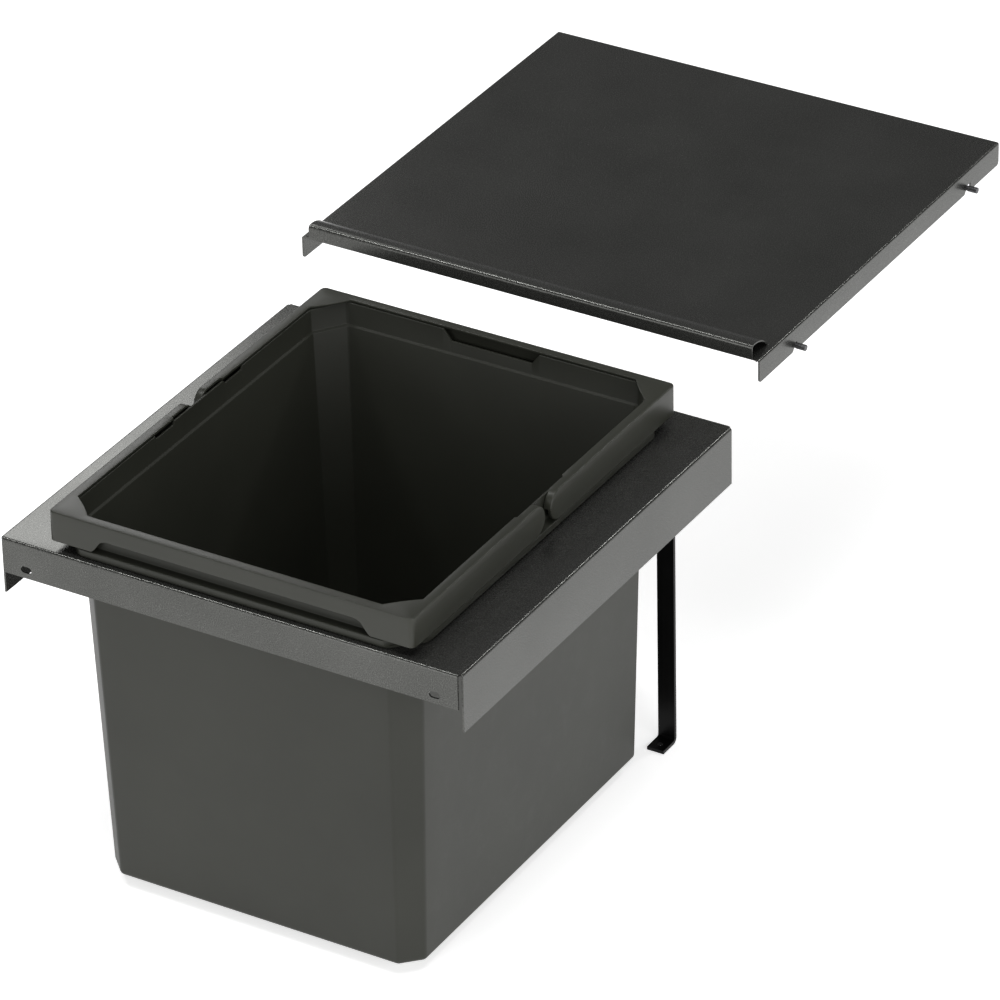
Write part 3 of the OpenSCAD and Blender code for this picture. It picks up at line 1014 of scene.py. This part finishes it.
@dataclass(frozen=True)
class Softbox:
    """A square area light that faces a point of the scene."""

    name: str
    place: Triple
    size: float                     # side of the square, in metres
    power: float                    # in watts
    aim: Triple = (0.0, 0.35, 0.0)

    def build(self) -> None:
        """Makes the light."""
        lamp = bpy.data.lights.new(self.name, "AREA")
        lamp.shape = "SQUARE"
        lamp.size = self.size
        lamp.energy = self.power
        holder = bpy.data.objects.new(self.name, lamp)
        holder.location = self.place
        away = Vector(self.place) - Vector(self.aim)
        holder.rotation_euler = away.to_track_quat("Z", "Y").to_euler()
        holder.visible_camera = False
        bpy.context.scene.collection.objects.link(holder)


@dataclass
class Studio:
    """Floor, lights, world and camera."""

    floor_height: float = -0.2798   # just under the feet
    floor_half: float = 30.0
    floor_glow: float = 0.62
    sky_glow: float = 0.17
    lens: float = 241.88            # in millimetres, on a sensor of 36 mm
    camera_place: Triple = (2.33067, -3.45383, 2.61707)
    right: Triple = (0.860757, 0.508664, -0.018927)
    up: Triple = (-0.248826, 0.452917, 0.856126)
    back: Triple = (0.444053, -0.732207, 0.516420)

    def floor(self) -> None:
        """A wide, plain, pale floor."""
        shape = bpy.data.meshes.new("studio_floor")
        edge, z = self.floor_half, self.floor_height
        shape.from_pydata([(-edge, -edge, z), (edge, -edge, z), (edge, edge, z), (-edge, edge, z)],
                          [], [(0, 1, 2, 3)])
        floor = placed_object("studio_floor", shape)
        shader = Shader("pale_floor")
        shader.feed(Base_Color=(0.9, 0.9, 0.9, 1.0), Roughness=0.9, Specular_IOR_Level=0.1,
                    Emission_Color=(1.0, 1.0, 1.0, 1.0), Emission_Strength=self.floor_glow)
        shape.materials.append(shader.material)

    def lights(self) -> None:
        """Soft boxes and an even world."""
        for box in (Softbox("key_right", (3.2, -1.2, 0.9), 2.2, 52.0),
                    Softbox("fill_front", (-0.9, -3.6, 0.9), 2.2, 42.0),
                    Softbox("top_soft", (0.5, -0.3, 3.6), 1.8, 62.0),
                    Softbox("left_panel", (-0.78, 0.90, 0.66), 0.36, 2.0, (-0.19, 0.1, 0.0)),
                    Softbox("front_bend_glint", (-1.65, -0.25, 3.2), 0.35, 20.0),
                    Softbox("side_bend_glint", (1.1, 3.0, 2.4), 0.35, 16.0)):
            box.build()
        world = bpy.data.worlds.new("studio_world")
        bpy.context.scene.world = world
        world.use_nodes = True
        sky = world.node_tree.nodes["Background"]
        sky.inputs["Color"].default_value = (1.0, 1.0, 1.0, 1.0)
        sky.inputs["Strength"].default_value = self.sky_glow

    def camera(self) -> None:
        """A long lens from the front right, looking down."""
        eye = bpy.data.cameras.new("studio_camera")
        eye.lens = self.lens
        eye.sensor_width = 36.0
        eye.clip_end = 100.0
        holder = bpy.data.objects.new("studio_camera", eye)
        turn = Matrix((self.right, self.up, self.back)).transposed().to_4x4()
        holder.matrix_world = Matrix.Translation(self.camera_place) @ turn
        bpy.context.scene.collection.objects.link(holder)
        bpy.context.scene.camera = holder

    def build(self) -> None:
        """Sets up the whole studio."""
        bpy.context.scene.view_settings.view_transform = "Standard"
        self.camera()
        self.floor()
        self.lights()


def main() -> None:
    """Builds every sub-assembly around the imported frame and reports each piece."""
    logging.basicConfig(level=logging.INFO, format="%(name)s: %(message)s")
    Studio().build()
    finishes = Finishes()
    parts: list[SteelPart | Bin | BailHandle] = [
        SteelPart("frame_tray", "tray_sheet", "frame", Slot.POWDER, 0.25),
        SteelPart("left_support_strap", "left_strap_bar", "frame", Slot.BLACK, 0.4),
        SteelPart("right_support_strap", "right_strap_bar", "frame", Slot.BLACK, 0.4),
        SteelPart("strap_rivets", "strap_rivet_heads", "frame", Slot.BLACK, 0.5),
        SteelPart("cover_plate", "cover_sheet", "cover", Slot.POWDER, 0.2),
        SteelPart("cover_hanging_screws", "hanging_screws", "cover_hangers", Slot.SCREW, 0.4),
        Bin(),
        BailHandle("front_bail_handle", "front_handle", "front_bail", rear=False),
        BailHandle("rear_bail_handle", "rear_handle", "rear_bail", rear=True, gusset_y=24.5),
    ]
    for part in parts:
        part.dress(finishes)


if __name__ == "__main__":
    main()
